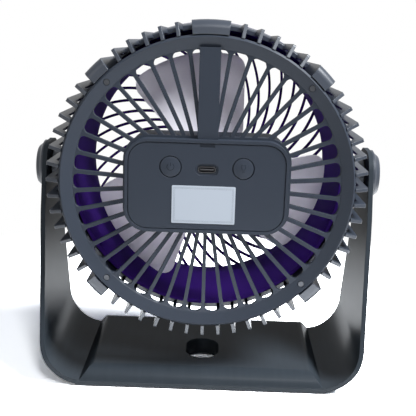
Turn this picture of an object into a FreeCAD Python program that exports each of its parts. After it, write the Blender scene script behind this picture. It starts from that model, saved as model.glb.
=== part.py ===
import FreeCAD, Part
import math
import os
import re
import Sketcher
from FreeCAD import Placement, Rotation, Vector

# A portable fan: a round fan head that tilts between the two arms of a strap stand.
# Millimetres, +Z up, the rear of the fan towards -Y. The origin is on the floor, under the middle
# of the whole fan's width and depth, so the tilt axis lies a little forward of it.
# Pieces of the head are drawn in the head's own frame, where x is to the right and y is up as seen
# from behind, and z runs rearwards from the tilt axis.

os.makedirs("parts", exist_ok=True)
doc = FreeCAD.newDocument("PortableFan")

SIZES = {
    # stand
    "head_clearance": 20.3,
    "strap_wall": 2.5,
    "strap_lift": 0.8,
    "arm_clearance": 4.0,
    "arm_taper": 2.6,
    "arm_end": 13.8,
    "base_depth": 86.0,
    "base_side": 14.0,
    "corner_outside": 24.0,
    "platform_top": 10.2,
    "platform_inset": 23.4,
    "platform_slope": 7.5,
    "platform_round": 9.0,
    "slot_width": 18.5,
    "slot_length": 27.0,
    "slot_back": 9.5,
    "floor_plate": 1.6,
    "floor_ledge": 1.0,
    "floor_gap": 0.3,
    "foot_radius": 6.0,
    "foot_inset": 10.0,
    # tilt pivots
    "pin_radius": 4.0,
    "pin_play": 0.05,
    "washer_thick": 1.0,
    "boss_radius": 8.5,
    "cap_margin": 0.3,
    "cap_height": 6.0,
    "insert_radius": 3.4,
    "insert_cover": 1.7,
    # rear grille and battery tub
    "grille_radius": 75.0,
    "ring_width": 7.2,
    "ring_slope": 2.3,
    "grille_rear": 44.0,
    "grille_thick": 3.6,
    "spoke_count": 42,
    "spoke_width": 1.9,
    "spoke_depth": 2.4,
    "spoke_flare": 2.6,
    "spine_width": 10.4,
    "collar": 1.2,
    "pod_end": 8.7,
    "pod_side": 5.45,
    "pod_corner": 11.5,
    "pod_proud": 2.4,
    "pod_wall": 1.6,
    "pod_floor": 2.0,
    "cover_gap": 0.35,
    "cover_thick": 1.8,
    "cover_sink": 0.3,
    "cover_ledge": 0.7,
    "latch_width": 7.2,
    "grille_screw": 0.9,
    "grille_screw_head": 1.45,
    "grille_screw_sink": 1.8,
    # things on the cover
    "button_radius": 5.25,
    "button_gap": 0.35,
    "button_x": 18.2,
    "button_y": 9.9,
    "button_travel": 0.6,
    "button_proud": 0.5,
    "socket_y": 8.8,
    "socket_width": 9.0,
    "socket_height": 3.2,
    "label_width": 32.0,
    "label_height": 19.5,
    "label_x": -1.3,
    "label_y": -9.2,
    "label_thick": 0.2,
    # fin housing
    "fin_count": 60,
    "fin_thick": 1.7,
    "fin_reach": 7.0,
    "fin_front": 15.0,
    "fin_bar": 3.9,
    "fin_round": 1.2,
    "fin_apex": 4.0,
    "seat_thick": 3.4,
    "shell_step": 4.3,
    "shell_rear": 6.0,
    "shell_front": 22.0,
    "shell_wall": 3.0,
    "block_top_angle": 13.5,
    "block_side_angle": 7.6,
    "block_round": 4.5,
    # front shell and guard
    "duct_step": 2.8,
    "duct_wall": 1.8,
    "duct_rear": 17.0,
    "mouth_taper": 4.1,
    "face_rim": 5.5,
    "guard_lap": 5.0,
    "guard_thick": 2.4,
    "wire_count": 40,
    "wire_width": 1.4,
    "wire_lean": 40.0,
    "lamp_radius": 24.0,
    "lamp_depth": 7.0,
    "lens_border": 4.0,
    "lamp_chips": 8,
    # rotor
    "tip_gap": 3.0,
    "tip_round": 7.0,
    "blade_count": 3,
    "blade_thick": 1.5,
    "blade_turn": 12.5,
    "blade_rear": 11.0,
    "blade_front": 8.0,
    "blade_lead_angle": 29.5,
    "blade_root_trail": 23.5,
    "blade_tip_trail": 33.0,
    "hub_radius": 19.0,
    "hub_wall": 2.0,
    "hub_rear": 10.0,
    "hub_front": 7.5,
    # motor
    "motor_radius": 14.0,
    "motor_front": 1.0,
    "motor_wall": 1.0,
    "shaft_radius": 1.5,
    "shaft_play": 0.05,
    "bearing_radius": 4.0,
    "bearing_length": 4.0,
    "armature_radius": 9.0,
    "magnet_thick": 2.6,
    # battery and board
    "cell_radius": 9.2,
    "cell_length": 65.0,
    "cell_room": 1.1,
    "board_depth": 5.2,
    "board_thick": 1.2,
    "switch_side": 6.0,
    "switch_height": 1.8,
    "screw_radius": 1.25,
    "screw_head": 2.4,
}

# Sizes that follow from the others, so that neighbours keep their fit
FITS = {
    "grille_opening": "grille_radius - ring_width",
    "fin_radius": "grille_radius + fin_reach",
    "shell_radius": "grille_radius + shell_step",
    "duct_radius": "grille_opening + duct_step",
    "mouth_radius": "duct_radius - mouth_taper",
    "guard_rim": "mouth_radius + guard_lap",
    "tip_radius": "mouth_radius - tip_gap",
    "face_front": "shell_front + face_rim",
    "seat_rear": "grille_rear - grille_thick - 0.05",
    "seat_front": "seat_rear - seat_thick",
    "arm_gap_top": "fin_radius + arm_clearance",
    "arm_gap_low": "arm_gap_top - arm_taper",
    "arm_outside": "arm_gap_top + strap_wall",
    "pivot_height": "platform_top + fin_radius + head_clearance",
    "platform_half": "arm_gap_low - platform_inset",
    "foot_x": "platform_half - foot_inset",
    "foot_y": "base_depth / 2 - foot_inset",
    "boss_end": "arm_gap_top - washer_thick",
    "washer_radius": "boss_radius - 0.1",
    "cap_radius": "arm_end - cap_margin",
    "insert_length": "boss_end - shell_radius + shell_wall - insert_cover",
    "pod_width": "cell_length + 2 * pod_end",
    "pod_height": "4 * cell_radius + 2 * pod_side",
    "pod_rear": "grille_rear + pod_proud",
    "cover_face": "pod_rear - cover_sink",
    "board_rear": "pod_rear - board_depth",
    "pod_front": "board_rear - board_thick - 2 * cell_radius - cell_room - pod_floor",
    "lens_radius": "lamp_radius - lens_border",
    "axis_forward": "(cover_face + button_proud - base_depth / 2) / 2",
}

sheet = doc.addObject("Spreadsheet::Sheet", "Sizes")
for row, (alias, number) in enumerate(SIZES.items(), start=1):
    sheet.set(f"A{row}", alias)
    sheet.set(f"B{row}", str(number))
    sheet.setAlias(f"B{row}", alias)
doc.recompute()

subparts = []


def formula(text):
    """Spell a formula on the names of sizes as an expression of the document."""
    return re.sub(r"[a-z_]+", spell, text)


def spell(word):
    name = word[0]
    if name in FITS:
        return f"({formula(FITS[name])})"
    return "Sizes." + name if name in SIZES else name


def value(text):
    """Work out a formula on the names of sizes."""
    result = sheet.evalExpression(formula(text))
    return float(getattr(result, "Value", result))


def bind(thing, prop, text):
    thing.setExpression(prop, formula(text))


def keep(thing, label):
    """Give a finished sub-part its name."""
    thing.Label = label
    subparts.append(thing)
    return thing


# Sketches

def pin(sketch, geometry, point, x, y):
    """Fix one point of a sketch at a place given by two formulas."""
    for kind, axis, text in (("DistanceX", -2, x), ("DistanceY", -1, y)):
        if text == "0":
            sketch.addConstraint(Sketcher.Constraint("PointOnObject", geometry, point, axis))
            continue
        number = value(text)
        index = sketch.addConstraint(Sketcher.Constraint(kind, -1, 1, geometry, point, number))
        sketch.setExpression(f"Constraints[{index}]", formula(text))


def circle(sketch, radius, x="0", y="0"):
    centre = Vector(value(x), value(y), 0)
    index = sketch.addGeometry(Part.Circle(centre, Vector(0, 0, 1), value(radius)), False)
    pin(sketch, index, 3, x, y)
    rule = sketch.addConstraint(Sketcher.Constraint("Radius", index, value(radius)))
    sketch.setExpression(f"Constraints[{rule}]", formula(radius))


def corner_arc(before, corner, after, radius):
    """The arc that rounds a corner, and whether it runs backwards along the outline."""
    back = (before - corner).normalize()
    ahead = (after - corner).normalize()
    half = back.getAngle(ahead) / 2
    middle = (back + ahead).normalize()
    centre = corner + middle * (radius / math.sin(half))
    start = corner + back * (radius / math.tan(half))
    end = corner + ahead * (radius / math.tan(half))
    backwards = (ahead.cross(back)).z < 0
    if backwards:
        start, end = end, start
    angles = [math.atan2(p.y - centre.y, p.x - centre.x) for p in (start, end)]
    ring = Part.Circle(centre, Vector(0, 0, 1), radius)
    return Part.ArcOfCircle(ring, angles[0], angles[1]), backwards


def outline(sketch, corners):
    """A closed outline. Each corner is two formulas, and a third where it is rounded."""
    points = [Vector(value(c[0]), value(c[1]), 0) for c in corners]
    count = len(points)
    arcs = {}
    for i, corner in enumerate(corners):
        if len(corner) == 3:
            near = (points[i - 1], points[i], points[(i + 1) % count])
            arcs[i] = corner_arc(*near, value(corner[2]))
    ends = []
    for i, point in enumerate(points):
        if i not in arcs:
            ends.append((point, point))
            continue
        arc, backwards = arcs[i]
        pair = (arc.StartPoint, arc.EndPoint)
        ends.append(pair[::-1] if backwards else pair)
    lines = []
    for i in range(count):
        side = Part.LineSegment(ends[i][1], ends[(i + 1) % count][0])
        lines.append(sketch.addGeometry(side, False))
    for i, corner in enumerate(corners):
        before, after = lines[i - 1], lines[i]
        if i not in arcs:
            sketch.addConstraint(Sketcher.Constraint("Coincident", before, 2, after, 1))
            pin(sketch, after, 1, corner[0], corner[1])
            continue
        mark = sketch.addGeometry(Part.Point(points[i]), True)
        pin(sketch, mark, 1, corner[0], corner[1])
        for line in (before, after):
            sketch.addConstraint(Sketcher.Constraint("PointOnObject", mark, 1, line))
        arc, backwards = arcs[i]
        bend = sketch.addGeometry(arc, False)
        first, last = (2, 1) if backwards else (1, 2)
        sketch.addConstraint(Sketcher.Constraint("Tangent", before, 2, bend, first))
        sketch.addConstraint(Sketcher.Constraint("Tangent", after, 1, bend, last))
        rule = sketch.addConstraint(Sketcher.Constraint("Radius", bend, arc.Radius))
        sketch.setExpression(f"Constraints[{rule}]", formula(corner[2]))


def box_outline(sketch, width, height, x="0", y="0", rounding=None):
    """A rectangle centred on a point, with its corners rounded where a radius is given."""
    low_x, high_x = f"{x} - ({width}) / 2", f"{x} + ({width}) / 2"
    low_y, high_y = f"{y} - ({height}) / 2", f"{y} + ({height}) / 2"
    corners = [(low_x, low_y), (high_x, low_y), (high_x, high_y), (low_x, high_y)]
    if rounding:
        corners = [corner + (rounding,) for corner in corners]
    outline(sketch, corners)


def profile(sketch, corners):
    """The half section of a turned piece: radius and height, as formulas."""
    outline(sketch, corners)


# Bodies and their features

def body(name):
    return doc.addObject("PartDesign::Body", name)


def plane(owner, role):
    return [f for f in owner.Origin.OriginFeatures if f.Role == role][0]


def sketch_on(owner, role, lift="0", turn=0):
    """A sketch on one of the body's own planes, lifted off it and turned about its second axis."""
    sketch = owner.newObject("Sketcher::SketchObject", "Sketch")
    sketch.AttachmentSupport = [(plane(owner, role), "")]
    sketch.MapMode = "FlatFace"
    sketch.AttachmentOffset = Placement(Vector(0, 0, value(lift)), Rotation(Vector(0, 1, 0), turn))
    if lift != "0":
        bind(sketch, "AttachmentOffset.Base.z", lift)
    return sketch


def pad(owner, sketch, length):
    feature = owner.newObject("PartDesign::Pad", "Pad")
    feature.Profile = sketch
    bind(feature, "Length", length)
    return feature


def pocket(owner, sketch, depth, upward=False):
    """Cut away material below the sketch, or above it."""
    feature = owner.newObject("PartDesign::Pocket", "Pocket")
    feature.Profile = sketch
    feature.Reversed = upward
    bind(feature, "Length", depth)
    return feature


def turn_solid(owner, sketch, angle="360", axis="V_Axis"):
    feature = owner.newObject("PartDesign::Revolution", "Revolution")
    feature.Profile = sketch
    feature.ReferenceAxis = (sketch, [axis])
    bind(feature, "Angle", angle)
    return feature


def around(owner, feature, count):
    """Repeat a feature around the body's own z axis."""
    pattern = owner.newObject("PartDesign::PolarPattern", "Around")
    pattern.Originals = [feature]
    pattern.Axis = (plane(owner, "Z_Axis"), [""])
    pattern.Angle = 360
    bind(pattern, "Occurrences", count)
    owner.Tip = pattern
    return pattern


def turned(name, corners):
    """A body turned about its own z axis from one half section."""
    owner = body(name)
    sketch = sketch_on(owner, "XZ_Plane")
    profile(sketch, corners)
    turn_solid(owner, sketch)
    return owner


def tube_corners(inner, outer, low, high):
    return [(inner, low), (outer, low), (outer, high), (inner, high)]


def in_head(thing, x="0", y="0"):
    """Stand a piece in the head's frame, at a place on the head's face."""
    thing.Placement = head_place(value(x), value(y))
    if x != "0":
        bind(thing, "Placement.Base.x", x)
    bind(thing, "Placement.Base.y", "axis_forward")
    bind(thing, "Placement.Base.z", "pivot_height" if y == "0" else f"pivot_height + ({y})")
    return thing


def in_stand(thing):
    """Set a piece that is drawn about the tilt axis in plan where the stand stands."""
    bind(thing, "Placement.Base.y", "axis_forward")
    return thing


def on_pivot(thing, side):
    """Lay a piece along the tilt axis, its z axis pointing outwards on that side."""
    thing.Placement = pivot_place(side)
    bind(thing, "Placement.Base.y", "axis_forward")
    bind(thing, "Placement.Base.z", "pivot_height")
    return thing


def pivot_place(side):
    return Placement(tilt_centre(), Rotation(Vector(0, 1, 0), 90 * side))


def tilt_centre():
    return Vector(0, value("axis_forward"), value("pivot_height"))


def shape_node(label, shape, placement=None):
    """A sub-part whose shape is worked out here from the sheet."""
    node = doc.addObject("Part::Feature", label)
    node.Shape = shape
    if placement:
        node.Placement = placement
    return keep(node, label)


def group(label, template, places):
    """One sub-part of several like pieces, a copy of the template at each place."""
    doc.recompute()
    copies = [template.Shape.transformed(place.toMatrix()) for place in places]
    return shape_node(label, Part.makeCompound(copies))


def head_place(x=0, y=0, z=0, rotation=None):
    """A place in the head's frame as a place in the object's frame."""
    head = Placement(tilt_centre(), Rotation(Vector(1, 0, 0), 90))
    return head.multiply(Placement(Vector(x, y, z), rotation or Rotation()))


def extrusion(corners, normal, length, place, name):
    """A prism from a free sketch: corners in the sketch, its placement and the length both ways."""
    sketch = doc.addObject("Sketcher::SketchObject", name + "Sketch")
    sketch.Placement = place
    outline(sketch, corners)
    prism = doc.addObject("Part::Extrusion", name)
    prism.Base = sketch
    prism.DirMode = "Custom"
    prism.Dir = normal
    prism.Solid = True
    prism.Symmetric = True
    bind(prism, "LengthFwd", length)
    return prism


def boolean(kind, name, *operands):
    feature = doc.addObject("Part::" + kind, name)
    if kind in ("MultiFuse", "MultiCommon"):
        feature.Shapes = list(operands)
    else:
        feature.Base, feature.Tool = operands
    return feature


# Stand

FRONT_VIEW = Placement(Vector(0, 0, 0), Rotation(Vector(1, 0, 0), 90))
SIDE_VIEW = Placement(Vector(0, 0, 0), Rotation(Vector(1, 1, 1), 120))
PLAN_VIEW = Placement()


def strap():
    """The bent strap in front view, cut to the tapering side view of the arms."""
    top = "pivot_height + arm_end"
    low = "strap_lift"
    inner = "strap_lift + strap_wall"
    round_in = "corner_outside - strap_wall"
    upright = "pivot_height - 1.5 * arm_end"
    front = [
        ("-(arm_gap_low + strap_wall)", low, "corner_outside"),
        ("arm_gap_low + strap_wall", low, "corner_outside"),
        ("arm_outside", upright),
        ("arm_outside", top),
        ("arm_gap_top", top),
        ("arm_gap_top", upright),
        ("arm_gap_low", inner, round_in),
        ("-arm_gap_low", inner, round_in),
        ("-arm_gap_top", upright),
        ("-arm_gap_top", top),
        ("-arm_outside", top),
        ("-arm_outside", upright),
    ]
    side = [
        ("-base_depth / 2", low),
        ("base_depth / 2", low),
        ("base_depth / 2", "base_side", "base_side - strap_lift - 1"),
        ("arm_end", top, "arm_end * 0.8"),
        ("-arm_end", top, "arm_end * 0.8"),
        ("-base_depth / 2", "base_side", "base_side - strap_lift - 1"),
    ]
    front_prism = extrusion(front, Vector(0, -1, 0), "base_depth", FRONT_VIEW, "StrapFront")
    side_prism = extrusion(side, Vector(1, 0, 0), "4 * arm_gap_top", SIDE_VIEW, "StrapSide")
    return boolean("Common", "Strap", front_prism, side_prism)


def platform():
    """The raised middle of the base, with sloped ends and rounded long edges."""
    foot = "platform_half + platform_slope"
    front = [
        (f"-({foot})", "strap_lift"),
        (foot, "strap_lift"),
        ("platform_half", "platform_top", "platform_round / 2"),
        ("-platform_half", "platform_top", "platform_round / 2"),
    ]
    side = [
        ("-base_depth / 2", "strap_lift"),
        ("base_depth / 2", "strap_lift"),
        ("base_depth / 2", "platform_top", "platform_round"),
        ("-base_depth / 2", "platform_top", "platform_round"),
    ]
    front_prism = extrusion(front, Vector(0, -1, 0), "base_depth", FRONT_VIEW, "PlatformFront")
    side_prism = extrusion(side, Vector(1, 0, 0), "4 * platform_half", SIDE_VIEW, "PlatformSide")
    return boolean("Common", "Platform", front_prism, side_prism)


def stand_frame():
    """Strap and platform in one moulding, hollow below, with a hanging slot and two pivot holes."""
    solid = boolean("Fuse", "StandSolid", strap(), platform())
    hollow = hollow_box("Hollow", "floor_ledge", "platform_top - strap_wall")
    rebate = hollow_box("Rebate", "0", "strap_lift + floor_plate")
    tower = extrusion(slot_corners("strap_wall"), Vector(0, 0, 1), "2 * platform_top",
                      PLAN_VIEW, "SlotTower")
    recess = boolean("Cut", "Recess", boolean("Fuse", "Cavity", hollow, rebate), tower)
    slot = extrusion(slot_corners("0"), Vector(0, 0, 1), "4 * platform_top", PLAN_VIEW, "Slot")
    bore = doc.addObject("Part::Cylinder", "PivotBore")
    bore.Placement = Placement(Vector(0, 0, 0), Rotation(Vector(0, 1, 0), 90))
    bind(bore, "Radius", "pin_radius + pin_play")
    bind(bore, "Height", "4 * arm_gap_top")
    bind(bore, "Placement.Base.x", "-2 * arm_gap_top")
    bind(bore, "Placement.Base.z", "pivot_height")
    tools = boolean("MultiFuse", "StandTools", recess, slot, bore)
    keep(in_stand(boolean("Cut", "Stand", solid, tools)), "stand_frame")


def hollow_box(name, inset, height):
    """A box below the platform, smaller than the floor plate's seat by the inset all around."""
    box = doc.addObject("Part::Box", name)
    bind(box, "Length", f"2 * (platform_half - {inset})")
    bind(box, "Width", f"2 * (base_depth / 2 - 2 * strap_wall - {inset})")
    bind(box, "Height", height)
    bind(box, "Placement.Base.x", f"{inset} - platform_half")
    bind(box, "Placement.Base.y", f"{inset} + 2 * strap_wall - base_depth / 2")
    return box


def slot_corners(extra):
    """The hanging slot in plan, behind the middle of the base, with rounded ends."""
    width = f"slot_width + 2 * {extra}"
    length = f"slot_length + 2 * {extra}"
    low_y, high_y = f"-slot_back - ({length}) / 2", f"-slot_back + ({length}) / 2"
    rounding = f"0.49 * ({width})"
    corners = [(f"-({width}) / 2", low_y), (f"({width}) / 2", low_y)]
    corners += [(f"({width}) / 2", high_y), (f"-({width}) / 2", high_y)]
    return [corner + (rounding,) for corner in corners]


def stand_floor():
    """The plate that closes the hollow, with the slot carried through and a seat for each foot."""
    plate = body("StandFloor")
    sketch = sketch_on(plate, "XY_Plane", "strap_lift")
    box_outline(sketch, "2 * (platform_half - floor_gap)", "base_depth - 4 * strap_wall - 2 * floor_gap")
    outline(sketch, slot_corners("(strap_wall + floor_gap)"))
    pad(plate, sketch, "floor_plate")
    keep(in_stand(plate), "stand_floor")


def stand_feet():
    foot = turned("Foot", [
        ("0", "0"),
        ("foot_radius - 0.6", "0"),
        ("foot_radius", "0.6"),
        ("foot_radius", "strap_lift"),
        ("0", "strap_lift"),
    ])
    x, y, middle = value("foot_x"), value("foot_y"), value("axis_forward")
    places = [Placement(Vector(i * x, j * y + middle, 0), Rotation()) for i in (-1, 1) for j in (-1, 1)]
    group("stand_feet", foot, places)


# Tilt pivots

def pivot_hardware():
    """Bolt, friction washer, threaded insert and domed cover on each side."""
    bolt = turned("Bolt", [
        ("0", "boss_end - insert_length"),
        ("pin_radius / 2", "boss_end - insert_length"),
        ("pin_radius / 2", "boss_end + 0.1"),
        ("pin_radius", "boss_end + 0.1"),
        ("pin_radius", "arm_outside + 0.4"),
        ("1.7 * pin_radius", "arm_outside + 0.4"),
        ("1.7 * pin_radius", "arm_outside + 2.2"),
        ("0", "arm_outside + 2.2"),
    ])
    washer = turned("Washer", tube_corners(
        "pin_radius + 0.3", "washer_radius", "boss_end + 0.05", "arm_gap_top - 0.1"))
    insert = turned("Insert", tube_corners(
        "pin_radius / 2 + 0.02", "insert_radius", "boss_end - insert_length", "boss_end - 0.1"))
    sides = [pivot_place(side) for side in (-1, 1)]
    group("pivot_bolts", bolt, sides)
    group("pivot_washers", washer, sides)
    group("pivot_inserts", insert, sides)
    for name, side in (("pivot_cap_left", -1), ("pivot_cap_right", 1)):
        cap = turned(name, [
            ("cap_radius - 4", "arm_outside"),
            ("cap_radius", "arm_outside"),
            ("cap_radius", "arm_outside + 1.6"),
            ("cap_radius - 1.6", "arm_outside + 2.6"),
            ("cap_radius - 3.4", "arm_outside + cap_height - 1.2", "1.6"),
            ("0", "arm_outside + cap_height"),
            ("0", "arm_outside + cap_height - 1.6"),
            ("cap_radius - 5.6", "arm_outside + cap_height - 2.6"),
            ("cap_radius - 4", "arm_outside + 1"),
        ])
        keep(on_pivot(cap, side), name)


# Head: rear grille with the battery tub

def rear_grille():
    grille = body("RearGrille")
    ring = sketch_on(grille, "XZ_Plane")
    profile(ring, [
        ("grille_opening", "grille_rear - grille_thick"),
        ("grille_radius", "grille_rear - grille_thick"),
        ("grille_radius", "grille_rear - 1"),
        ("grille_radius - 1", "grille_rear"),
        ("grille_opening + 0.6", "grille_rear - ring_slope"),
        ("grille_opening", "grille_rear - ring_slope - 0.6"),
    ])
    turn_solid(grille, ring)
    spoke = sketch_on(grille, "XY_Plane", "grille_rear - ring_slope - 0.2 - spoke_depth")
    foot = "(spoke_width / 2 + spoke_flare + 0.3)"
    outline(spoke, [
        ("-spoke_width / 2", "pod_height / 2 - 2 * pod_wall"),
        ("spoke_width / 2", "pod_height / 2 - 2 * pod_wall"),
        ("spoke_width / 2", "grille_opening", "spoke_flare"),
        (foot, "grille_opening"),
        (foot, "grille_opening + 0.9"),
        (f"-{foot}", "grille_opening + 0.9"),
        (f"-{foot}", "grille_opening"),
        ("-spoke_width / 2", "grille_opening", "spoke_flare"),
    ])
    around(grille, pad(grille, spoke, "spoke_depth"), "spoke_count")
    spine = sketch_on(grille, "XY_Plane", "grille_rear - grille_thick")
    outline(spine, [
        ("-spine_width / 2", "pod_height / 2 - pod_wall"),
        ("spine_width / 2", "pod_height / 2 - pod_wall"),
        ("spine_width / 2", "grille_opening + 1"),
        ("-spine_width / 2", "grille_opening + 1"),
    ])
    pad(grille, spine, "grille_thick - 0.2")
    collar = sketch_on(grille, "XY_Plane", "grille_rear - ring_slope - 0.2 - spoke_depth")
    box_outline(collar, "pod_width + 2 * collar", "pod_height + 2 * collar", rounding="pod_corner + collar")
    pad(grille, collar, "spoke_depth")
    window = sketch_on(grille, "XY_Plane", "grille_rear")
    box_outline(window, "pod_width", "pod_height", rounding="pod_corner")
    pocket(grille, window, "2 * grille_thick")
    through = ("grille_screw + 0.15", "2 * grille_thick")
    dimple = ("grille_screw_head + 0.2", "grille_screw_sink")
    for radius, depth in (through, dimple):
        bores = sketch_on(grille, "XY_Plane", "grille_rear")
        for x, y in grille_screw_spots():
            circle(bores, radius, x=x, y=y)
        pocket(grille, bores, depth)
    keep(in_head(grille), "rear_grille")


def battery_tub():
    """The tub that fills the middle of the grille, with screw holes in its floor and two posts."""
    tub = body("BatteryTub")
    block = sketch_on(tub, "XY_Plane", "pod_front")
    box_outline(block, "pod_width", "pod_height", rounding="pod_corner")
    pad(tub, block, "pod_rear - pod_front")
    cavity = sketch_on(tub, "XY_Plane", "pod_rear")
    box_outline(cavity, "pod_width - 2 * (pod_wall + cover_ledge)", "pod_height - 2 * (pod_wall + cover_ledge)",
                rounding="pod_corner - pod_wall - cover_ledge")
    pocket(tub, cavity, "pod_rear - pod_front - pod_floor")
    seat = sketch_on(tub, "XY_Plane", "pod_rear")
    box_outline(seat, "pod_width - 2 * pod_wall", "pod_height - 2 * pod_wall",
                rounding="pod_corner - pod_wall")
    pocket(tub, seat, "cover_sink + cover_thick")
    holes = sketch_on(tub, "XY_Plane", "pod_front + pod_floor")
    circle(holes, "bearing_radius + 1.2")
    for side in ("-", ""):
        circle(holes, "screw_radius + 0.2", x=f"{side}(motor_radius - 4.5)")
    pocket(tub, holes, "2 * pod_floor")
    bosses = sketch_on(tub, "XY_Plane", "pod_front + pod_floor")
    for x, y in board_screw_spots():
        circle(bosses, "screw_radius + 1.6", x=x, y=y)
    pad(tub, bosses, "board_rear - board_thick - pod_front - pod_floor")
    keep(in_head(tub), "battery_tub")


def board_screw_spots():
    """Two screw posts beside the ends of the cells, as formulas."""
    side = "(pod_width / 2 - pod_wall - 3.3)"
    return [(f"-{side}", "0"), (side, "0")]


def grille_screw_spots():
    """Four screws on the middle of the rear ring, each on a diagonal, as formulas."""
    side = "((grille_radius + grille_opening) / 2 * sin(45))"
    return [(f"{i}{side}", f"{j}{side}") for i in ("-", "") for j in ("-", "")]


def grille_screws():
    """Four screws through the rear ring, seen as small dimples."""
    tip = "seat_front + 0.6"
    under = "grille_rear - grille_screw_sink + 0.01"
    screw = turned("GrilleScrew", [
        ("0", tip),
        ("grille_screw", tip),
        ("grille_screw", under),
        ("grille_screw_head", under),
        ("grille_screw_head", f"{under} + 0.7"),
        ("0", f"{under} + 0.7"),
    ])
    group("grille_screws", screw, [head_place(value(x), value(y)) for x, y in grille_screw_spots()])


def pod_cover():
    """The cover plate of the tub: bevelled rim, two button holes, the socket window and a latch."""
    cover = body("PodCover")
    width = "(pod_width - 2 * (pod_wall + cover_gap))"
    height = "(pod_height - 2 * (pod_wall + cover_gap))"
    under = "cover_face - cover_thick"
    plate = sketch_on(cover, "XY_Plane", under)
    box_outline(plate, width, height, rounding="pod_corner - pod_wall - cover_gap")
    for side in ("-", ""):
        circle(plate, "button_radius + button_gap", x=f"{side}button_x", y="button_y")
    box_outline(plate, "socket_width + 0.6", "socket_height + 0.6", y="socket_y", rounding="1.85")
    pad(cover, plate, "cover_thick")
    recess = sketch_on(cover, "XY_Plane", "cover_face")
    box_outline(recess, "socket_width + 2.6", "socket_height + 2.6", y="socket_y", rounding="2.8")
    box_outline(recess, "latch_width", "2 * cover_thick", y=f"{height} / 2")
    pocket(cover, recess, "0.4 * cover_thick")
    lip = sketch_on(cover, "XY_Plane", under)
    box_outline(lip, f"{width} - 1.2", f"{height} - 1.2", rounding="pod_corner - pod_wall - cover_gap - 0.6")
    box_outline(lip, f"{width} - 3.6", f"{height} - 3.6", rounding="pod_corner - pod_wall - cover_gap - 1.8")
    skirt = pad(cover, lip, "1.6")
    skirt.Reversed = True
    keep(in_head(cover), "pod_cover")


def button(name, x):
    """A push button: domed cap, collar under the cover and a stem over its switch."""
    face = "cover_face + button_proud"
    collar_top = "cover_face - cover_thick - 0.2"
    stem = "board_rear + switch_height + button_travel + 0.1"
    owner = turned(name, [
        ("0", stem),
        ("0.3 * button_radius", stem),
        ("0.3 * button_radius", f"{collar_top} - 0.7"),
        ("button_radius + 0.9", f"{collar_top} - 0.7"),
        ("button_radius + 0.9", collar_top),
        ("button_radius", collar_top),
        ("button_radius", f"{face} - 0.6", "0.5"),
        ("0", face),
    ])
    keep(in_head(owner, x=x, y="button_y"), name)


def usb_socket():
    """The charging socket: a rounded metal shell with a tongue, on the board behind its window."""
    socket = body("UsbSocket")
    low = "board_rear + 0.05"
    shell = sketch_on(socket, "XY_Plane", low)
    box_outline(shell, "socket_width", "socket_height", rounding="0.48 * socket_height")
    pad(socket, shell, "cover_face - 0.6 - board_rear")
    mouth = sketch_on(socket, "XY_Plane", "pod_rear")
    box_outline(mouth, "socket_width - 0.7", "socket_height - 0.7", rounding="0.48 * (socket_height - 0.7)")
    pocket(socket, mouth, "pod_rear - board_rear - 1")
    tongue = sketch_on(socket, "XY_Plane", "board_rear + 0.5")
    box_outline(tongue, "socket_width - 2.4", "0.7")
    pad(socket, tongue, "pod_rear - board_rear - 2")
    keep(in_head(socket, y="socket_y"), "usb_socket")


def rating_label():
    label = body("RatingLabel")
    sketch = sketch_on(label, "XY_Plane", "cover_face + 0.01")
    box_outline(sketch, "label_width", "label_height", rounding="0.6")
    pad(label, sketch, "label_thick")
    keep(in_head(label, x="label_x", y="label_y"), "rating_label")


# Head: fin housing, front shell and guard

def fin_housing():
    """Seat ring and sleeve joined by plain blocks, with a pivot boss on each side."""
    housing = body("FinHousing")
    sleeve = sketch_on(housing, "XZ_Plane")
    profile(sleeve, [
        ("shell_radius - shell_wall", "-shell_front"),
        ("shell_radius", "-shell_front"),
        ("shell_radius", "shell_rear - 1.5"),
        ("shell_radius - 0.6", "shell_rear"),
        ("shell_radius - shell_wall", "shell_rear"),
    ])
    turn_solid(housing, sleeve)
    seat = sketch_on(housing, "XZ_Plane")
    profile(seat, tube_corners("grille_opening + 1.2", "grille_radius - 0.3", "seat_front", "seat_rear"))
    turn_solid(housing, seat)
    top = sketch_on(housing, "XZ_Plane", turn=90 - value("block_top_angle") / 2)
    block_profile(top)
    turn_solid(housing, top, "block_top_angle")
    side = sketch_on(housing, "XZ_Plane", turn=45 - value("block_side_angle") / 2)
    block_profile(side)
    around(housing, turn_solid(housing, side, "block_side_angle"), "4")
    bosses = sketch_on(housing, "XZ_Plane")
    both_sides(bosses, "(shell_radius - shell_wall / 2)", "(boss_end)", "boss_radius")
    turn_solid(housing, bosses, axis="H_Axis")
    bores = sketch_on(housing, "XZ_Plane")
    both_sides(bores, "(boss_end - insert_length - 0.2)", "(boss_end + 1)", "insert_radius + 0.02")
    groove = housing.newObject("PartDesign::Groove", "Bores")
    groove.Profile = bores
    groove.ReferenceAxis = (bores, ["H_Axis"])
    groove.Angle = 360
    keep(in_head(housing), "fin_housing")


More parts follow.
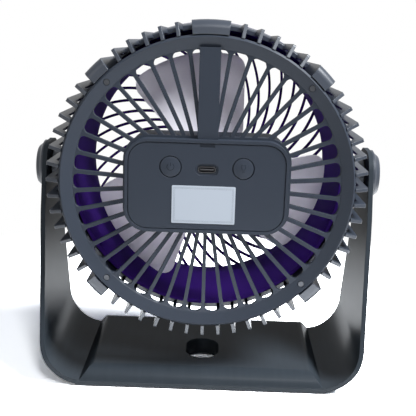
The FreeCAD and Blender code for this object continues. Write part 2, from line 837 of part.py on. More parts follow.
def cooling_fins():
    """Open fins that bridge from the seat ring to the sleeve, all around between the blocks."""
    fin = body("Fin")
    sketch = sketch_on(fin, "XZ_Plane", "-fin_thick / 2")
    outline(sketch, [
        ("grille_radius - 0.6", "seat_rear - 0.1"),
        ("grille_radius - 0.6", "seat_front + 0.2"),
        ("fin_radius - fin_bar", "grille_rear - 10", "2"),
        ("fin_radius - fin_bar - 1.2", "shell_rear - 0.3"),
        ("shell_radius - 0.3", "shell_rear - 0.3"),
        ("shell_radius - 0.3", "-fin_front"),
        ("fin_radius", "grille_rear - fin_apex", "fin_round"),
        ("grille_radius + 0.2", "grille_rear - 0.6"),
        ("grille_radius + 0.2", "seat_rear - 0.1"),
    ])
    pad(fin, sketch, "fin_thick")
    count = round(value("fin_count"))
    angles = [360 / count * i for i in range(count)]
    reach = value("boss_end")
    bosses = Part.makeCylinder(value("boss_radius"), 2 * reach, Vector(-reach, 0, 0), Vector(1, 0, 0))
    doc.recompute()
    fins = []
    for angle in filter(clear_of_blocks, angles):
        rest = fin.Shape.rotated(Vector(0, 0, 0), Vector(0, 0, 1), angle).cut(bosses)
        fins.append(max(rest.Solids, key=lambda solid: solid.Volume))
    shape_node("cooling_fins", Part.makeCompound(fins), head_place())


def clear_of_blocks(angle):
    """Whether a fin at this angle from the right-hand side misses the plain blocks."""
    fin_half = math.degrees(value("fin_thick / 2 / shell_radius"))
    blocks = [(90, value("block_top_angle / 2"))]
    blocks += [(middle, value("block_side_angle / 2")) for middle in (45, 135, 225, 315)]
    return all(abs(angle - middle) > half + fin_half for middle, half in blocks)


def both_sides(sketch, inner, outer, radius):
    """Half sections of two like cylinders, left and right, on the sketch's horizontal axis."""
    for side in ("-", ""):
        outline(sketch, tube_corners(f"{side}{inner}", f"{side}{outer}", "0", radius))


def block_profile(sketch):
    """Section of the plain blocks between the fins, just proud of the fins that they cover."""
    proud = "(fin_radius + 0.3)"
    inside = "(shell_radius - 0.2)"
    profile(sketch, [
        ("grille_radius - 1.2", "seat_rear - 0.02"),
        ("grille_radius - 1.2", "shell_rear + 2"),
        ("shell_radius - shell_wall + 0.6", "shell_rear - 4"),
        ("shell_radius - shell_wall + 0.6", "-fin_front - 0.6"),
        (inside, "-fin_front - 0.6"),
        (proud, "grille_rear - 1.5", "block_round"),
        ("grille_radius + 0.25", "grille_rear - 0.25"),
        ("grille_radius + 0.25", "seat_rear - 0.02"),
    ])


def front_shell():
    """The duct: a tapering inner wall, the front face and a skirt inside the sleeve."""
    skirt = "shell_radius - shell_wall - 0.2"
    shell = turned("front_shell", [
        ("duct_radius", "duct_rear"),
        ("mouth_radius", "-shell_front + 2"),
        ("mouth_radius", "-face_front"),
        ("shell_radius - 3", "-face_front"),
        ("shell_radius", "-face_front + 3"),
        ("shell_radius", "-shell_front - 0.1"),
        (skirt, "-shell_front - 0.1"),
        (skirt, "-shell_front + 8"),
        (f"{skirt} - 1.8", "-shell_front + 8"),
        (f"{skirt} - 1.8", "-face_front + 2.2"),
        ("mouth_radius + duct_wall", "-face_front + 2.2"),
        ("mouth_radius + duct_wall", "-shell_front + 2"),
        ("duct_radius + duct_wall", "duct_rear"),
    ])
    keep(in_head(shell), "front_shell")


def spiral_wire(lean, inner, outer, width):
    """One bar of the guard in plan: an arc that leans back from the radial direction."""
    points = []
    for radius in (outer, math.sqrt(inner * outer), inner):
        turn = -math.tan(math.radians(lean)) * math.log(outer / radius)
        points.append(Vector(radius * math.cos(turn), radius * math.sin(turn), 0))
    line = Part.Arc(*points).toShape()
    centre, mean = line.Curve.Center, line.Curve.Radius
    edges = []
    for radius in (mean - width / 2, mean + width / 2):
        edges.append(Part.Arc(*[centre + (p - centre).normalize() * radius for p in points]).toShape())
    corners = [edge.Vertexes for edge in edges]
    for i in (0, 1):
        edges.append(Part.makeLine(corners[0][i].Point, corners[1][i].Point))
    return Part.Face(Part.Wire(Part.__sortEdges__(edges)))


def front_guard():
    """Rim, spiral bars and the lamp cup in one moulding."""
    back = -value("face_front")
    front = back - value("guard_thick")
    rim_outer, rim_inner = value("guard_rim"), value("mouth_radius")
    cup, wall = value("lamp_radius"), value("duct_wall")
    cup_rear = back + value("lamp_depth")
    rim = Part.makeCylinder(rim_outer, back - front, Vector(0, 0, front))
    rim = rim.cut(Part.makeCylinder(rim_inner, back - front, Vector(0, 0, front)))
    bowl = Part.makeCylinder(cup, cup_rear - front, Vector(0, 0, front))
    bowl = bowl.cut(Part.makeCylinder(cup - wall, cup_rear - wall - front, Vector(0, 0, front)))
    bar = spiral_wire(value("wire_lean"), cup - wall / 2, rim_inner + 1, value("wire_width"))
    bar.translate(Vector(0, 0, front + 0.2))
    bar = bar.extrude(Vector(0, 0, back - front - 0.4))
    bars = []
    count = int(value("wire_count"))
    for i in range(count):
        copy = bar.copy()
        copy.rotate(Vector(0, 0, 0), Vector(0, 0, 1), i * 360 / count)
        bars.append(copy)
    shape_node("front_guard", rim.multiFuse(bars + [bowl]), head_place())


# Rotor

def blade(thick):
    """One blade: strips across the span, lofted and trimmed to a rounded outline."""
    rear, front = value("blade_rear"), value("blade_front")
    hub, tip = value("hub_radius"), value("tip_radius")
    root_trail, tip_trail = value("blade_root_trail"), value("blade_tip_trail")
    lead_slope = math.tan(math.radians(value("blade_lead_angle")))
    spans = []
    for part in (-0.15, 0, 0.35, 0.7, 1.05):
        along = hub + part * (tip - hub)
        spans.append((along, -lead_slope * along, root_trail + part * (tip_trail - root_trail)))
    wires = []
    for along, lead, trail in spans:
        camber = 0.05 * (trail - lead)
        middle = ((lead + trail) / 2, (rear - front) / 2 - camber)
        faces = []
        for offset in (thick / 2, -thick / 2):
            ends = [(lead, rear), middle, (trail, -front)]
            faces.append([Vector(x, along, z + offset) for x, z in ends])
        top = Part.Arc(*faces[0]).toShape()
        bottom = Part.Arc(*faces[1]).toShape()
        sides = [Part.makeLine(faces[0][i], faces[1][i]) for i in (0, 2)]
        wires.append(Part.Wire(Part.__sortEdges__([top, sides[1], bottom, sides[0]])))
    strip = Part.makeLoft(wires, True, False)
    plan = Part.Face(Part.Wire(Part.makeCircle(tip)))
    edge = [Vector(x, y, 0) for y, x, _ in spans] + [Vector(x, y, 0) for y, _, x in reversed(spans)]
    sides = Part.Face(Part.makePolygon(edge + edge[:1]))
    plan = plan.common(sides).Faces[0]
    rounding = value("tip_round")
    plan = plan.makeOffset2D(-rounding).makeOffset2D(rounding)
    prism = plan.extrude(Vector(0, 0, 4 * (rear + front)))
    prism.translate(Vector(0, 0, -2 * (rear + front)))
    return strip.common(prism)


def fan_rotor():
    """Three blades on a cup-shaped hub that turns around the motor."""
    count = int(value("blade_count"))
    outer, wall = value("hub_radius"), value("hub_wall")
    rear, front = value("hub_rear"), value("hub_front")
    hub = Part.makeCylinder(outer, rear + front, Vector(0, 0, -front))
    inside = Part.makeCylinder(outer - wall, rear + front, Vector(0, 0, -front + wall))
    boss_length = value("hub_front - motor_front") - wall - 1.6
    boss = Part.makeCylinder(2.2 * value("shaft_radius"), wall + boss_length, Vector(0, 0, -front))
    length = 2 * (rear + front)
    bore = Part.makeCylinder(value("shaft_radius"), length, Vector(0, 0, -length / 2))
    core = Part.makeCylinder(outer - wall / 2, length, Vector(0, 0, -length / 2))
    blades = []
    for i in range(count):
        copy = blade(value("blade_thick")).cut(core)
        copy.rotate(Vector(0, 0, 0), Vector(0, 0, 1), value("blade_turn") - i * 360 / count)
        blades.append(copy)
    solid = hub.cut(inside).fuse(boss).multiFuse(blades).cut(bore)
    shape_node("fan_rotor", solid.removeSplitter(), head_place())


# Motor

def motor():
    """A small can motor on the front of the battery tub, its shaft towards the front."""
    front, rear, wall = "-motor_front", "pod_front", "motor_wall"
    can = turned("motor_can", [
        ("bearing_radius + 0.02", front),
        ("motor_radius", front),
        ("motor_radius", f"{rear} - 3"),
        (f"motor_radius - {wall}", f"{rear} - 3"),
        (f"motor_radius - {wall}", f"{front} + {wall}"),
        ("bearing_radius + 0.02", f"{front} + {wall}"),
    ])
    keep(in_head(can), "motor_can")
    bell = turned("motor_end_bell", [
        ("bearing_radius + 0.02", f"{rear} - 2.9"),
        ("motor_radius", f"{rear} - 2.9"),
        ("motor_radius", f"{rear} - 0.05"),
        ("bearing_radius + 0.02", f"{rear} - 0.05"),
    ])
    keep(in_head(bell), "motor_end_bell")
    bearings = [("motor_bearing_front", front, f"{front} + bearing_length"),
                ("motor_bearing_rear", f"{rear} - 2.9", f"{rear} - 2.9 + bearing_length")]
    for name, low, high in bearings:
        bush = turned(name, tube_corners("shaft_radius + shaft_play", "bearing_radius", low, high))
        keep(in_head(bush), name)
    shaft = turned("motor_shaft", [
        ("0", "-hub_front + 0.2"),
        ("shaft_radius", "-hub_front + 0.2"),
        ("shaft_radius", f"{rear} + 0.6"),
        ("0", f"{rear} + 0.6"),
    ])
    keep(in_head(shaft), "motor_shaft")
    armature = turned("motor_armature", [
        ("shaft_radius", f"{front} + bearing_length + 0.8"),
        ("armature_radius - 3", f"{front} + bearing_length + 0.8"),
        ("armature_radius", f"{front} + bearing_length + 2"),
        ("armature_radius", f"{rear} - 6"),
        ("armature_radius - 4", f"{rear} - 4.2"),
        ("shaft_radius", f"{rear} - 4.2"),
    ])
    keep(in_head(armature), "motor_armature")
    magnets()
    screw = turned("MotorScrew", [
        ("0", f"{rear} - 2.5"),
        ("screw_radius", f"{rear} - 2.5"),
        ("screw_radius", f"{rear} + pod_floor + 0.02"),
        ("screw_head", f"{rear} + pod_floor + 0.02"),
        ("screw_head", f"{rear} + pod_floor + 0.5"),
        ("0", f"{rear} + pod_floor + 0.5"),
    ])
    reach = value("motor_radius - 4.5")
    group("motor_screws", screw, [head_place(x) for x in (-reach, reach)])


def magnets():
    """Two curved magnets against the wall of the can."""
    low = value("bearing_length - motor_front") + 1.5
    high = value("pod_front") - 4
    outer = value("motor_radius - motor_wall") - 0.02
    inner = outer - value("magnet_thick")
    arcs = []
    for turn in (20, 200):
        sector = Part.makeCylinder(outer, high - low, Vector(0, 0, low), Vector(0, 0, 1), 140)
        sector = sector.cut(Part.makeCylinder(inner, high - low, Vector(0, 0, low)))
        sector.rotate(Vector(0, 0, 0), Vector(0, 0, 1), turn)
        arcs.append(sector)
    shape_node("motor_magnets", Part.makeCompound(arcs), head_place())


def rotor_screw():
    """The screw that holds the hub on the shaft."""
    screw = turned("rotor_screw", [
        ("0", "-hub_front - 1.6"),
        ("screw_head + 0.8", "-hub_front - 1.6"),
        ("screw_head + 0.8", "-hub_front - 0.01"),
        ("0", "-hub_front - 0.01"),
    ])
    keep(in_head(screw), "rotor_screw")


# Battery, board and lamp

# Chips on the board: place across and up as parts of the pod's sides, then length, depth, height.
BOARD_PARTS = [
    (-0.11, -0.09, 6, 5, 1.2),
    (0.05, -0.13, 4, 4, 0.9),
    (0.17, -0.17, 7, 6, 2.0),
    (-0.29, -0.19, 5, 5, 1.4),
    (0.29, -0.05, 3, 5, 1.1),
    (-0.19, -0.3, 8, 4, 1.6),
]


def battery():
    """Two cells side by side along x, in a carrier on the tub's floor."""
    lift = value("pod_front + pod_floor + cell_radius") + 0.6
    reach = value("cell_radius") + 0.2
    length = value("cell_length")
    radius = value("cell_radius")
    cells = []
    for y in (-reach, reach):
        can = Part.makeCylinder(radius, length, Vector(-length / 2, y, lift), Vector(1, 0, 0))
        tip = Part.makeCylinder(0.3 * radius, 1, Vector(length / 2, y, lift), Vector(1, 0, 0))
        cells.append(can.fuse(tip))
    shape_node("battery_cells", Part.makeCompound(cells), head_place())
    width, height = length + 1.8, 4 * radius + 1
    low = value("pod_front + pod_floor") + 0.05
    tray = Part.makeBox(width, height, 0.75 * radius, Vector(-width / 2, -height / 2, low))
    for y in (-reach, reach):
        trough = Part.makeCylinder(radius + 0.1, length + 2.4, Vector(-length / 2 - 1.2, y, lift),
                                   Vector(1, 0, 0))
        tray = tray.cut(trough)
    clearance = Part.makeCylinder(value("bearing_radius") + 2, 3, Vector(0, 0, low))
    window = Part.makeBox(value("2 * motor_radius"), 8, 3, Vector(-value("motor_radius"), -4, low))
    shape_node("battery_carrier", tray.cut(clearance).cut(window), head_place())


def control_board():
    """Circuit board over the cells, with the two switches and the parts on it."""
    board = body("ControlBoard")
    sketch = sketch_on(board, "XY_Plane", "board_rear - board_thick + 0.02")
    box_outline(sketch, "pod_width - 2 * pod_wall - 2.4", "pod_height - 2 * pod_wall - 5.4",
                rounding="pod_corner - pod_wall - 3")
    for x, y in board_screw_spots():
        circle(sketch, "screw_radius + 0.15", x=x, y=y)
    pad(board, sketch, "board_thick - 0.02")
    keep(in_head(board), "control_board")
    rear = value("board_rear") + 0.02
    x, y = value("button_x"), value("button_y")
    side, height = value("switch_side"), value("switch_height")
    switches = []
    for middle in (-x, x):
        case = Part.makeBox(side, side, 0.65 * height, Vector(middle - side / 2, y - side / 2, rear))
        knob = Part.makeCylinder(side / 4, height - 0.02, Vector(middle, y, rear))
        switches.append(case.fuse(knob))
    shape_node("tact_switches", Part.makeCompound(switches), head_place())
    width, height = value("pod_width"), value("pod_height")
    solids = []
    for across, up, length, depth, thick in BOARD_PARTS:
        corner = Vector(across * width - length / 2, up * height - depth / 2, rear)
        solids.append(Part.makeBox(length, depth, thick, corner))
    shape_node("board_components", Part.makeCompound(solids), head_place())
    screw = turned("BoardScrew", [
        ("0", "board_rear - 8"),
        ("screw_radius", "board_rear - 8"),
        ("screw_radius", "board_rear + 0.02"),
        ("screw_head", "board_rear + 0.02"),
        ("screw_head", "board_rear + 1.4"),
        ("0", "board_rear + 1.4"),
    ])
    spots = [head_place(value(x), value(y)) for x, y in board_screw_spots()]
    group("board_screws", screw, spots)


def lamp():
    """The lamp in the middle of the guard: board, light sources, reflector and domed lens."""
    front = "(face_front + guard_thick)"
    inside = "(lamp_radius - duct_wall - 0.25)"
    board_front = "(face_front - lamp_depth + duct_wall + 1.22)"
    board = turned("lamp_board", [
        ("0", f"-{board_front}"),
        (inside, f"-{board_front}"),
        (inside, f"1.2 - {board_front}"),
        ("0", f"1.2 - {board_front}"),
    ])
    keep(in_head(board), "lamp_board")
    chip = body("LampChip")
    sketch = sketch_on(chip, "XY_Plane", f"-{board_front} - 0.9")
    box_outline(sketch, "3.5", "2.8")
    pad(chip, sketch, "0.88")
    ring = value("0.55 * lens_radius")
    count = int(value("lamp_chips"))
    turns = [2 * math.pi * i / count for i in range(count)]
    group("lamp_leds", chip, [head_place(ring * math.cos(a), ring * math.sin(a)) for a in turns])
    reflector = turned("lamp_reflector", [
        (f"{inside} - 3.4", f"-{board_front} - 0.05"),
        (f"{inside} - 2.4", f"-{board_front} - 0.05"),
        (inside, f"-{front} + 1.72"),
        (f"{inside} - 1.2", f"-{front} + 1.72"),
    ])
    keep(in_head(reflector), "lamp_reflector")
    lens = turned("lamp_lens", [
        ("0", f"-{front} - 3.4"),
        ("lens_radius * 0.6", f"-{front} - 2.5"),
        ("lens_radius * 0.9", f"-{front} - 1.2"),
        ("lens_radius", f"-{front}"),
        (inside, f"-{front}"),
        (inside, f"-{front} + 1.7"),
        ("lens_radius - 1.8", f"-{front} + 1.7"),
        ("lens_radius * 0.84", f"-{front} + 0.2"),
        ("lens_radius * 0.56", f"-{front} - 1"),
        ("0", f"-{front} - 1.9"),
    ])
    keep(in_head(lens), "lamp_lens")


def finish():
    doc.recompute()
    faults = [thing.Label for thing in doc.Objects if {"Invalid", "Error"} & set(thing.State)]
    if faults:
        raise RuntimeError(f"objects in error: {faults}")
    for thing in subparts:
        if thing.Shape.isNull() or not thing.Shape.isValid():
            raise RuntimeError(f"bad shape: {thing.Label}")
    for thing in subparts:
        thing.Shape.exportStep(f"parts/{thing.Label}.step")
        print(f"{thing.Label}: {len(thing.Shape.Solids)} solids, {thing.Shape.Volume / 1000:.2f} cm3")


stand_frame()
stand_floor()
stand_feet()
pivot_hardware()
rear_grille()
battery_tub()
grille_screws()
pod_cover()
button("power_button", "-button_x")
button("light_button", "button_x")
usb_socket()
rating_label()
fin_housing()
cooling_fins()
front_shell()
front_guard()
fan_rotor()
motor()
rotor_screw()
battery()
control_board()
lamp()
finish()
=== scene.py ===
import math

import bpy
from mathutils import Matrix, Vector

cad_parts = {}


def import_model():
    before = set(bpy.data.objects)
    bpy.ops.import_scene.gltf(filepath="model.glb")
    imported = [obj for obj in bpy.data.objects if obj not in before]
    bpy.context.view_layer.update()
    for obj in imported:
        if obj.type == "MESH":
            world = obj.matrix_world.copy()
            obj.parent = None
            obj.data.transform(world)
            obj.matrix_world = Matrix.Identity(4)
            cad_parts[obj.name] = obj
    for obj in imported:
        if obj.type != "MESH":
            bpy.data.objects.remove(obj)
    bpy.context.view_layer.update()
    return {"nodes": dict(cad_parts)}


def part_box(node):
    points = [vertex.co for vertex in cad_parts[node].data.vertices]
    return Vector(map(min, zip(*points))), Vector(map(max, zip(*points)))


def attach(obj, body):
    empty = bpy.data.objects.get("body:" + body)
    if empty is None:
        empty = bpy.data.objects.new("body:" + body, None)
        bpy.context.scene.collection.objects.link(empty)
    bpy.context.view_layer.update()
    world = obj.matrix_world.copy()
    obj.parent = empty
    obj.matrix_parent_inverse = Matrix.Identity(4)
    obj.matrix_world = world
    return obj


# Looks of a portable fan that tilts in a strap stand. Metres, +Z up, the rear of the fan towards -Y.

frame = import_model()
nodes = frame["nodes"]

MM = 0.001

# Noise scales in cells per metre, from the widest to the finest
TINTS = 30
CLOUDS = 45
STAINS = 90
HAZE = 160
# scale of the streaks of reflection painted into the stand's colour
PAINTED_STREAKS = 420
BRUSHING = 600
BLADE_GRAIN = 2600
GRAIN = 3200

# Noise values mostly stay between these two
NOISE_LOW, NOISE_HIGH = 0.3, 0.7


# Node trees

class Tree:
    """A small helper that builds a material's or the world's nodes."""

    def __init__(self, owner):
        owner.use_nodes = True
        self.tree = owner.node_tree
        self.tree.nodes.clear()

    def add(self, kind, inputs=None, **settings):
        """Make a node, set its properties, and set or link its inputs."""
        node = self.tree.nodes.new(kind)
        for name, setting in settings.items():
            setattr(node, name, setting)
        for name, source in (inputs or {}).items():
            if isinstance(source, bpy.types.NodeSocket):
                self.tree.links.new(source, node.inputs[name])
            else:
                node.inputs[name].default_value = source
        return node

    def math(self, operation, a, b):
        return self.add("ShaderNodeMath", {0: a, 1: b}, operation=operation).outputs[0]

    def noise(self, vector, scale, detail=3.0):
        inputs = {"Vector": vector, "Scale": scale, "Detail": detail}
        return self.add("ShaderNodeTexNoise", inputs).outputs["Fac"]

    def spread(self, source, low, high):
        """Map a 0 to 1 noise on a range of numbers."""
        inputs = {
            "Value": source,
            "From Min": NOISE_LOW,
            "From Max": NOISE_HIGH,
            "To Min": low,
            "To Max": high,
        }
        return self.add("ShaderNodeMapRange", inputs).outputs[0]

    def blend(self, factor, first, second):
        """Mix two colours. Sockets 6 and 7 take the colours, and output 2 gives the result."""
        inputs = {0: factor, 6: (*first, 1), 7: (*second, 1)}
        return self.add("ShaderNodeMix", inputs, data_type="RGBA").outputs[2]

    def seen(self):
        """1 for rays that come from the camera, or from a mirroring or clear surface."""
        path = self.add("ShaderNodeLightPath").outputs
        direct = self.math("MAXIMUM", path["Is Camera Ray"], path["Is Transmission Ray"])
        return self.math("MAXIMUM", direct, path["Is Glossy Ray"])

    def bump(self, height, strength, distance, normal=None):
        inputs = {"Height": height, "Strength": strength, "Distance": distance}
        if normal:
            inputs["Normal"] = normal
        return self.add("ShaderNodeBump", inputs).outputs[0]


def scaled(colour, factor):
    """A darker or lighter shade of a colour."""
    return tuple(channel * factor for channel in colour)


def moulded(name, colour, roughness, gloss=0.08, grain=0.02, painted_streak_amount=0.0, mottle=0.12, edge=0.3):
    """Injection-moulded plastic: fine grain, a faintly clouded colour, painted streaks of reflection
    where asked, soft edges.
    """
    material = bpy.data.materials.new(name)
    tree = Tree(material)
    place = tree.add("ShaderNodeTexCoord").outputs["Object"]
    cloud = tree.noise(place, CLOUDS)
    fine = tree.noise(place, GRAIN, detail=2)
    # The stretched noise paints streaks of reflection into the colour where a material asks for them;
    # only the stand does.
    stretched = tree.add("ShaderNodeMapping", {"Vector": place, "Scale": (1, 0.08, 0.08)}).outputs[0]
    painted_streak_noise = tree.noise(stretched, PAINTED_STREAKS, detail=2)
    painted_streak_tone = tree.spread(painted_streak_noise, 0.5 - painted_streak_amount / 2, 0.5 + painted_streak_amount / 2)
    uneven = tree.math("ADD", tree.math("MULTIPLY", cloud, 0.5), tree.math("MULTIPLY", painted_streak_tone, 0.5))
    shade = tree.blend(uneven, scaled(colour, 1 - mottle), scaled(colour, 1 + mottle))
    soft_edge = tree.add("ShaderNodeBevel", {"Radius": edge * MM}, samples=4).outputs[0]
    normal = tree.bump(fine, 0.35, grain * MM, soft_edge)
    shader = tree.add("ShaderNodeBsdfPrincipled", {
        "Base Color": shade,
        "Roughness": 0.8,
        "Specular IOR Level": 0.0,
        "Normal": normal,
        "Coat Weight": gloss,
        "Coat IOR": 1.5,
        "Coat Roughness": roughness,
        "Coat Normal": normal,
    })
    tree.add("ShaderNodeOutputMaterial", {"Surface": shader.outputs[0]})
    return material


def metal(name, colour, roughness, brushing=BRUSHING):
    """Turned or drawn metal with fine brushing and a little staining."""
    material = bpy.data.materials.new(name)
    tree = Tree(material)
    place = tree.add("ShaderNodeTexCoord").outputs["Object"]
    along = tree.add("ShaderNodeMapping", {"Vector": place, "Scale": (0.1, 1, 1)}).outputs[0]
    lines = tree.noise(along, brushing)
    shade = tree.blend(tree.noise(place, STAINS), scaled(colour, 0.8), scaled(colour, 1.1))
    shader = tree.add("ShaderNodeBsdfPrincipled", {
        "Base Color": shade,
        "Metallic": 1.0,
        "Roughness": tree.spread(lines, roughness * 0.7, roughness * 1.3),
        "Normal": tree.bump(lines, 0.2, 0.02 * MM),
    })
    tree.add("ShaderNodeOutputMaterial", {"Surface": shader.outputs[0]})
    return material


def milky(name, colour):
    """The blades' milky plastic, which lets a share of the light through."""
    material = bpy.data.materials.new(name)
    tree = Tree(material)
    place = tree.add("ShaderNodeTexCoord").outputs["Object"]
    shade = tree.blend(tree.noise(place, TINTS), scaled(colour, 0.93), scaled(colour, 1.05))
    fine = tree.noise(place, BLADE_GRAIN, detail=2)
    shader = tree.add("ShaderNodeBsdfPrincipled", {
        "Base Color": shade,
        "Roughness": tree.spread(tree.noise(place, HAZE), 0.3, 0.42),
        "Normal": tree.bump(fine, 0.25, 0.01 * MM),
    })
    through = tree.add("ShaderNodeBsdfTranslucent", {"Color": shade})
    share = 0.45
    both = tree.add("ShaderNodeMixShader", {0: share, 1: shader.outputs[0], 2: through.outputs[0]})
    tree.add("ShaderNodeOutputMaterial", {"Surface": both.outputs[0]})
    return material


def dress(material, *names):
    """Give CAD nodes a material."""
    for name in names:
        mesh = nodes[name].data
        mesh.materials.clear()
        mesh.materials.append(material)


# Materials of the CAD nodes

SLATE = (0.029, 0.036, 0.050)
DARK_SLATE = (0.030, 0.037, 0.045)
INDIGO = (0.056, 0.016, 0.230)

slate = moulded("slate", SLATE, 0.4, gloss=0.36)
sheen_slate = moulded("sheen_slate", SLATE, 0.36, gloss=0.85, edge=0.5)
# The stand's colour carries painted streaks of reflection.
stand_slate = moulded("stand_slate", DARK_SLATE, 0.3, gloss=0.17, painted_streak_amount=0.6, edge=0.5)
indigo = moulded("indigo", INDIGO, 0.35, gloss=0.05)
blade_white = milky("blade_white", (0.95, 0.93, 0.98))
film = moulded("label_film", (0.52, 0.57, 0.64), 0.35, grain=0.004, mottle=0.03)
ink = moulded("ink", (0.05, 0.07, 0.11), 0.5, grain=0.002)
dark_steel = metal("dark_steel", (0.06, 0.063, 0.07), 0.45)
socket_steel = metal("socket_steel", (0.07, 0.07, 0.075), 0.35)
frosted = moulded("frosted", (0.8, 0.81, 0.84), 0.25, mottle=0.03)
steel = metal("steel", (0.55, 0.55, 0.56), 0.3)
brass = metal("brass", (0.7, 0.52, 0.24), 0.3)
bronze = metal("bronze", (0.42, 0.27, 0.15), 0.4)
mirror = metal("mirror", (0.8, 0.8, 0.82), 0.12)
rubber = moulded("rubber", (0.012, 0.012, 0.013), 0.75, grain=0.05)
ferrite = moulded("ferrite", (0.03, 0.03, 0.032), 0.55)
copper = metal("copper", (0.62, 0.26, 0.12), 0.35, brushing=1500)
wrap = moulded("wrap", (0.03, 0.22, 0.2), 0.2)
board_green = moulded("board_green", (0.012, 0.08, 0.03), 0.35, mottle=0.25)
board_white = moulded("board_white", (0.7, 0.7, 0.7), 0.4)
chip_black = moulded("chip_black", (0.012, 0.012, 0.013), 0.45)
carrier_black = moulded("carrier_black", (0.02, 0.02, 0.022), 0.5)

dress(stand_slate, "stand_frame", "stand_floor")
dress(rubber, "stand_feet", "pivot_washers")
dress(steel, "pivot_bolts", "motor_can", "motor_screws", "motor_shaft", "rotor_screw", "board_screws")
dress(dark_steel, "grille_screws")
dress(socket_steel, "usb_socket")
dress(brass, "pivot_inserts")
dress(slate, "rear_grille", "battery_tub", "pod_cover", "power_button", "light_button")
dress(sheen_slate, "fin_housing", "cooling_fins", "pivot_cap_left", "pivot_cap_right")
dress(indigo, "front_shell", "front_guard")
dress(blade_white, "fan_rotor")
dress(film, "rating_label")
dress(frosted, "lamp_lens", "lamp_leds")
dress(mirror, "lamp_reflector")
dress(bronze, "motor_bearing_front", "motor_bearing_rear")
dress(copper, "motor_armature")
dress(ferrite, "motor_magnets")
dress(wrap, "battery_cells")
dress(board_green, "control_board")
dress(board_white, "lamp_board")
dress(chip_black, "tact_switches", "board_components", "motor_end_bell")
dress(carrier_black, "battery_carrier")


# Marks on the pod, in millimetres: a symbol on each button and the border of the label

BUTTON_FALL = 0.114    # how far the button's shallow cone falls per millimetre from its middle
STROKE = 0.34
STROKE_SUNK = 0.35     # share of a stroke's width that its middle lies below the button's face
BORDER_LINE = 0.1
BORDER_INSETS = (1.0, 1.5)
BORDER_SUNK = 0.03


def strokes(name, lines, radius, body, material):
    """Fine raised lines through the given points."""
    curve = bpy.data.curves.new(name, "CURVE")
    curve.dimensions = "3D"
    curve.bevel_depth = radius
    curve.bevel_resolution = 2
    curve.use_fill_caps = True
    for points, closed in lines:
        spline = curve.splines.new("POLY")
        spline.points.add(len(points) - 1)
        for target, point in zip(spline.points, points):
            target.co = (*point, 1)
        spline.use_cyclic_u = closed
    curve.materials.append(material)
    piece = bpy.data.objects.new(name, curve)
    bpy.context.scene.collection.objects.link(piece)
    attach(piece, body)


def on_button(node, marks):
    """Put marks, drawn in millimetres about a button's middle, on its shallow cone."""
    low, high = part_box(node)
    middle_x, middle_z = (low[0] + high[0]) / 2, (low[2] + high[2]) / 2
    lines = []
    for points, closed in marks:
        placed = []
        for x, z in points:
            sunk = (BUTTON_FALL * math.hypot(x, z) + STROKE * STROKE_SUNK) * MM
            placed.append((middle_x + x * MM, low[1] + sunk, middle_z + z * MM))
        lines.append((placed, closed))
    strokes(node + "_symbol", lines, STROKE * MM / 2, node, symbol)


def arc(radius, start, end, steps=28):
    """Points along an arc about the middle, from one angle to the other in degrees."""
    angles = [math.radians(start + (end - start) * i / steps) for i in range(steps + 1)]
    return [(radius * math.cos(angle), radius * math.sin(angle)) for angle in angles]


symbol = moulded("symbol", scaled(SLATE, 0.25), 0.5, gloss=0.1)
on_button("power_button", [
    (arc(1.75, 125, 415), False),
    ([(0, 0.5), (0, 2.1)], False),
])
on_button("light_button", [
    ([(-1.0, 1.9), (-1.0, 0.4), (-0.55, -0.4), (0.55, -0.4), (1.0, 0.4), (1.0, 1.9)], True),
    ([(-0.55, -1.0), (0.55, -1.0)], False),
    ([(-0.55, -1.6), (0.55, -1.6)], False),
])


def label_border():
    """A fine printed double frame just inside the edge of the bare label."""
    low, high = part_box("rating_label")
    face = low[1] + BORDER_SUNK * MM
    lines = []
    for inset in BORDER_INSETS:
        x0, x1 = low[0] + inset * MM, high[0] - inset * MM
        z0, z1 = low[2] + inset * MM, high[2] - inset * MM
        lines.append(([(x0, face, z0), (x1, face, z0), (x1, face, z1), (x0, face, z1)], True))
    strokes("label_border", lines, BORDER_LINE / 2 * MM, "head", ink)


label_border()


# Floor, light and camera

FLOOR_SIZE = 12
FLOOR_SEEN = 4.0            # shade of the floor near the object, where it is seen or mirrored
FLOOR_LIT = 0.2             # its shade for the light that it throws back on the object
SHADOW_FADE = (0.14, 0.3)   # how far out its shadow starts to fade, and where it is gone
SKY = (0.080, 0.088, 0.102)


def floor():
    """A pale floor: white where it is seen, with the object's own soft shadow close to it."""
    bpy.ops.mesh.primitive_plane_add(size=FLOOR_SIZE)
    plane = bpy.context.object
    plane.name = "floor"
    material = bpy.data.materials.new("floor_white")
    tree = Tree(material)
    seen = tree.seen()
    lit = tree.blend(seen, (FLOOR_LIT,) * 3, (FLOOR_SEEN,) * 3)
    diffuse = tree.add("ShaderNodeBsdfDiffuse", {"Color": lit}).outputs[0]
    white = tree.add("ShaderNodeEmission", {"Color": (1, 1, 1, 1), "Strength": 1.0}).outputs[0]
    place = tree.add("ShaderNodeTexCoord").outputs["Object"]
    away = tree.add("ShaderNodeVectorMath", {0: place}, operation="LENGTH").outputs["Value"]
    near, clear = SHADOW_FADE
    far = tree.add("ShaderNodeMapRange", {"Value": away, "From Min": near, "From Max": clear}).outputs[0]
    both = tree.add("ShaderNodeMixShader", {0: tree.math("MULTIPLY", seen, far), 1: diffuse, 2: white})
    tree.add("ShaderNodeOutputMaterial", {"Surface": both.outputs[0]})
    plane.data.materials.append(material)


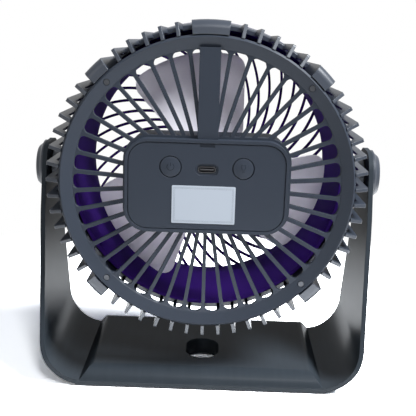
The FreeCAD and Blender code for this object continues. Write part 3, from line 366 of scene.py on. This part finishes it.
def world():
    """White where it is seen or mirrored, and a soft grey light on everything."""
    sky = bpy.data.worlds.new("studio")
    bpy.context.scene.world = sky
    tree = Tree(sky)
    shade = tree.blend(tree.seen(), SKY, (1, 1, 1))
    light = tree.add("ShaderNodeBackground", {"Color": shade})
    tree.add("ShaderNodeOutputWorld", {"Surface": light.outputs[0]})


def lamp(name, place, target, size, power, colour):
    """A soft rectangular lamp: metres and watts, turned to its target."""
    data = bpy.data.lights.new(name, "AREA")
    data.shape = "RECTANGLE"
    data.size, data.size_y = size
    data.energy = power
    data.color = colour
    light = bpy.data.objects.new(name, data)
    light.location = place
    light.rotation_euler = (Vector(target) - Vector(place)).to_track_quat("-Z", "Y").to_euler()
    bpy.context.scene.collection.objects.link(light)


def camera():
    """The photograph's view: its place, pitch, yaw and roll, and its focal length in pixels."""
    frame_pixels, focal_pixels = 416, 839.51
    place = Vector((5.08, -454.53, 204.67)) * MM
    pitch, yaw, roll = (math.radians(angle) for angle in (14.07, -0.55, 1.76))
    ahead = Vector((math.sin(yaw) * math.cos(pitch), math.cos(yaw) * math.cos(pitch), -math.sin(pitch)))
    level = ahead.cross(Vector((0, 0, 1))).normalized()
    upright = level.cross(ahead)
    right = level * math.cos(roll) + upright * math.sin(roll)
    up = upright * math.cos(roll) - level * math.sin(roll)
    data = bpy.data.cameras.new("camera")
    data.sensor_width = 36
    data.lens = data.sensor_width * focal_pixels / frame_pixels
    data.clip_start = 0.01
    eye = bpy.data.objects.new("camera", data)
    turn = Matrix((right, up, -ahead)).transposed().to_4x4()
    eye.matrix_world = Matrix.Translation(place) @ turn
    bpy.context.scene.collection.objects.link(eye)
    bpy.context.scene.camera = eye


floor()
world()
lamp("key", place=(0.72, -0.36, 1.02), target=(0, 0, 0.11), size=(0.4, 0.4), power=34,
     colour=(0.94, 0.97, 1.0))
lamp("fill", place=(-0.8, -0.8, 0.4), target=(0, 0, 0.1), size=(0.5, 0.6), power=1.6,
     colour=(1.0, 0.96, 0.9))
lamp("window", place=(0.10, -0.60, 0.66), target=(0, 0, 0.08), size=(0.14, 0.24), power=1.6,
     colour=(0.95, 0.97, 1.0))
camera()
bpy.context.scene.view_settings.view_transform = "Standard"
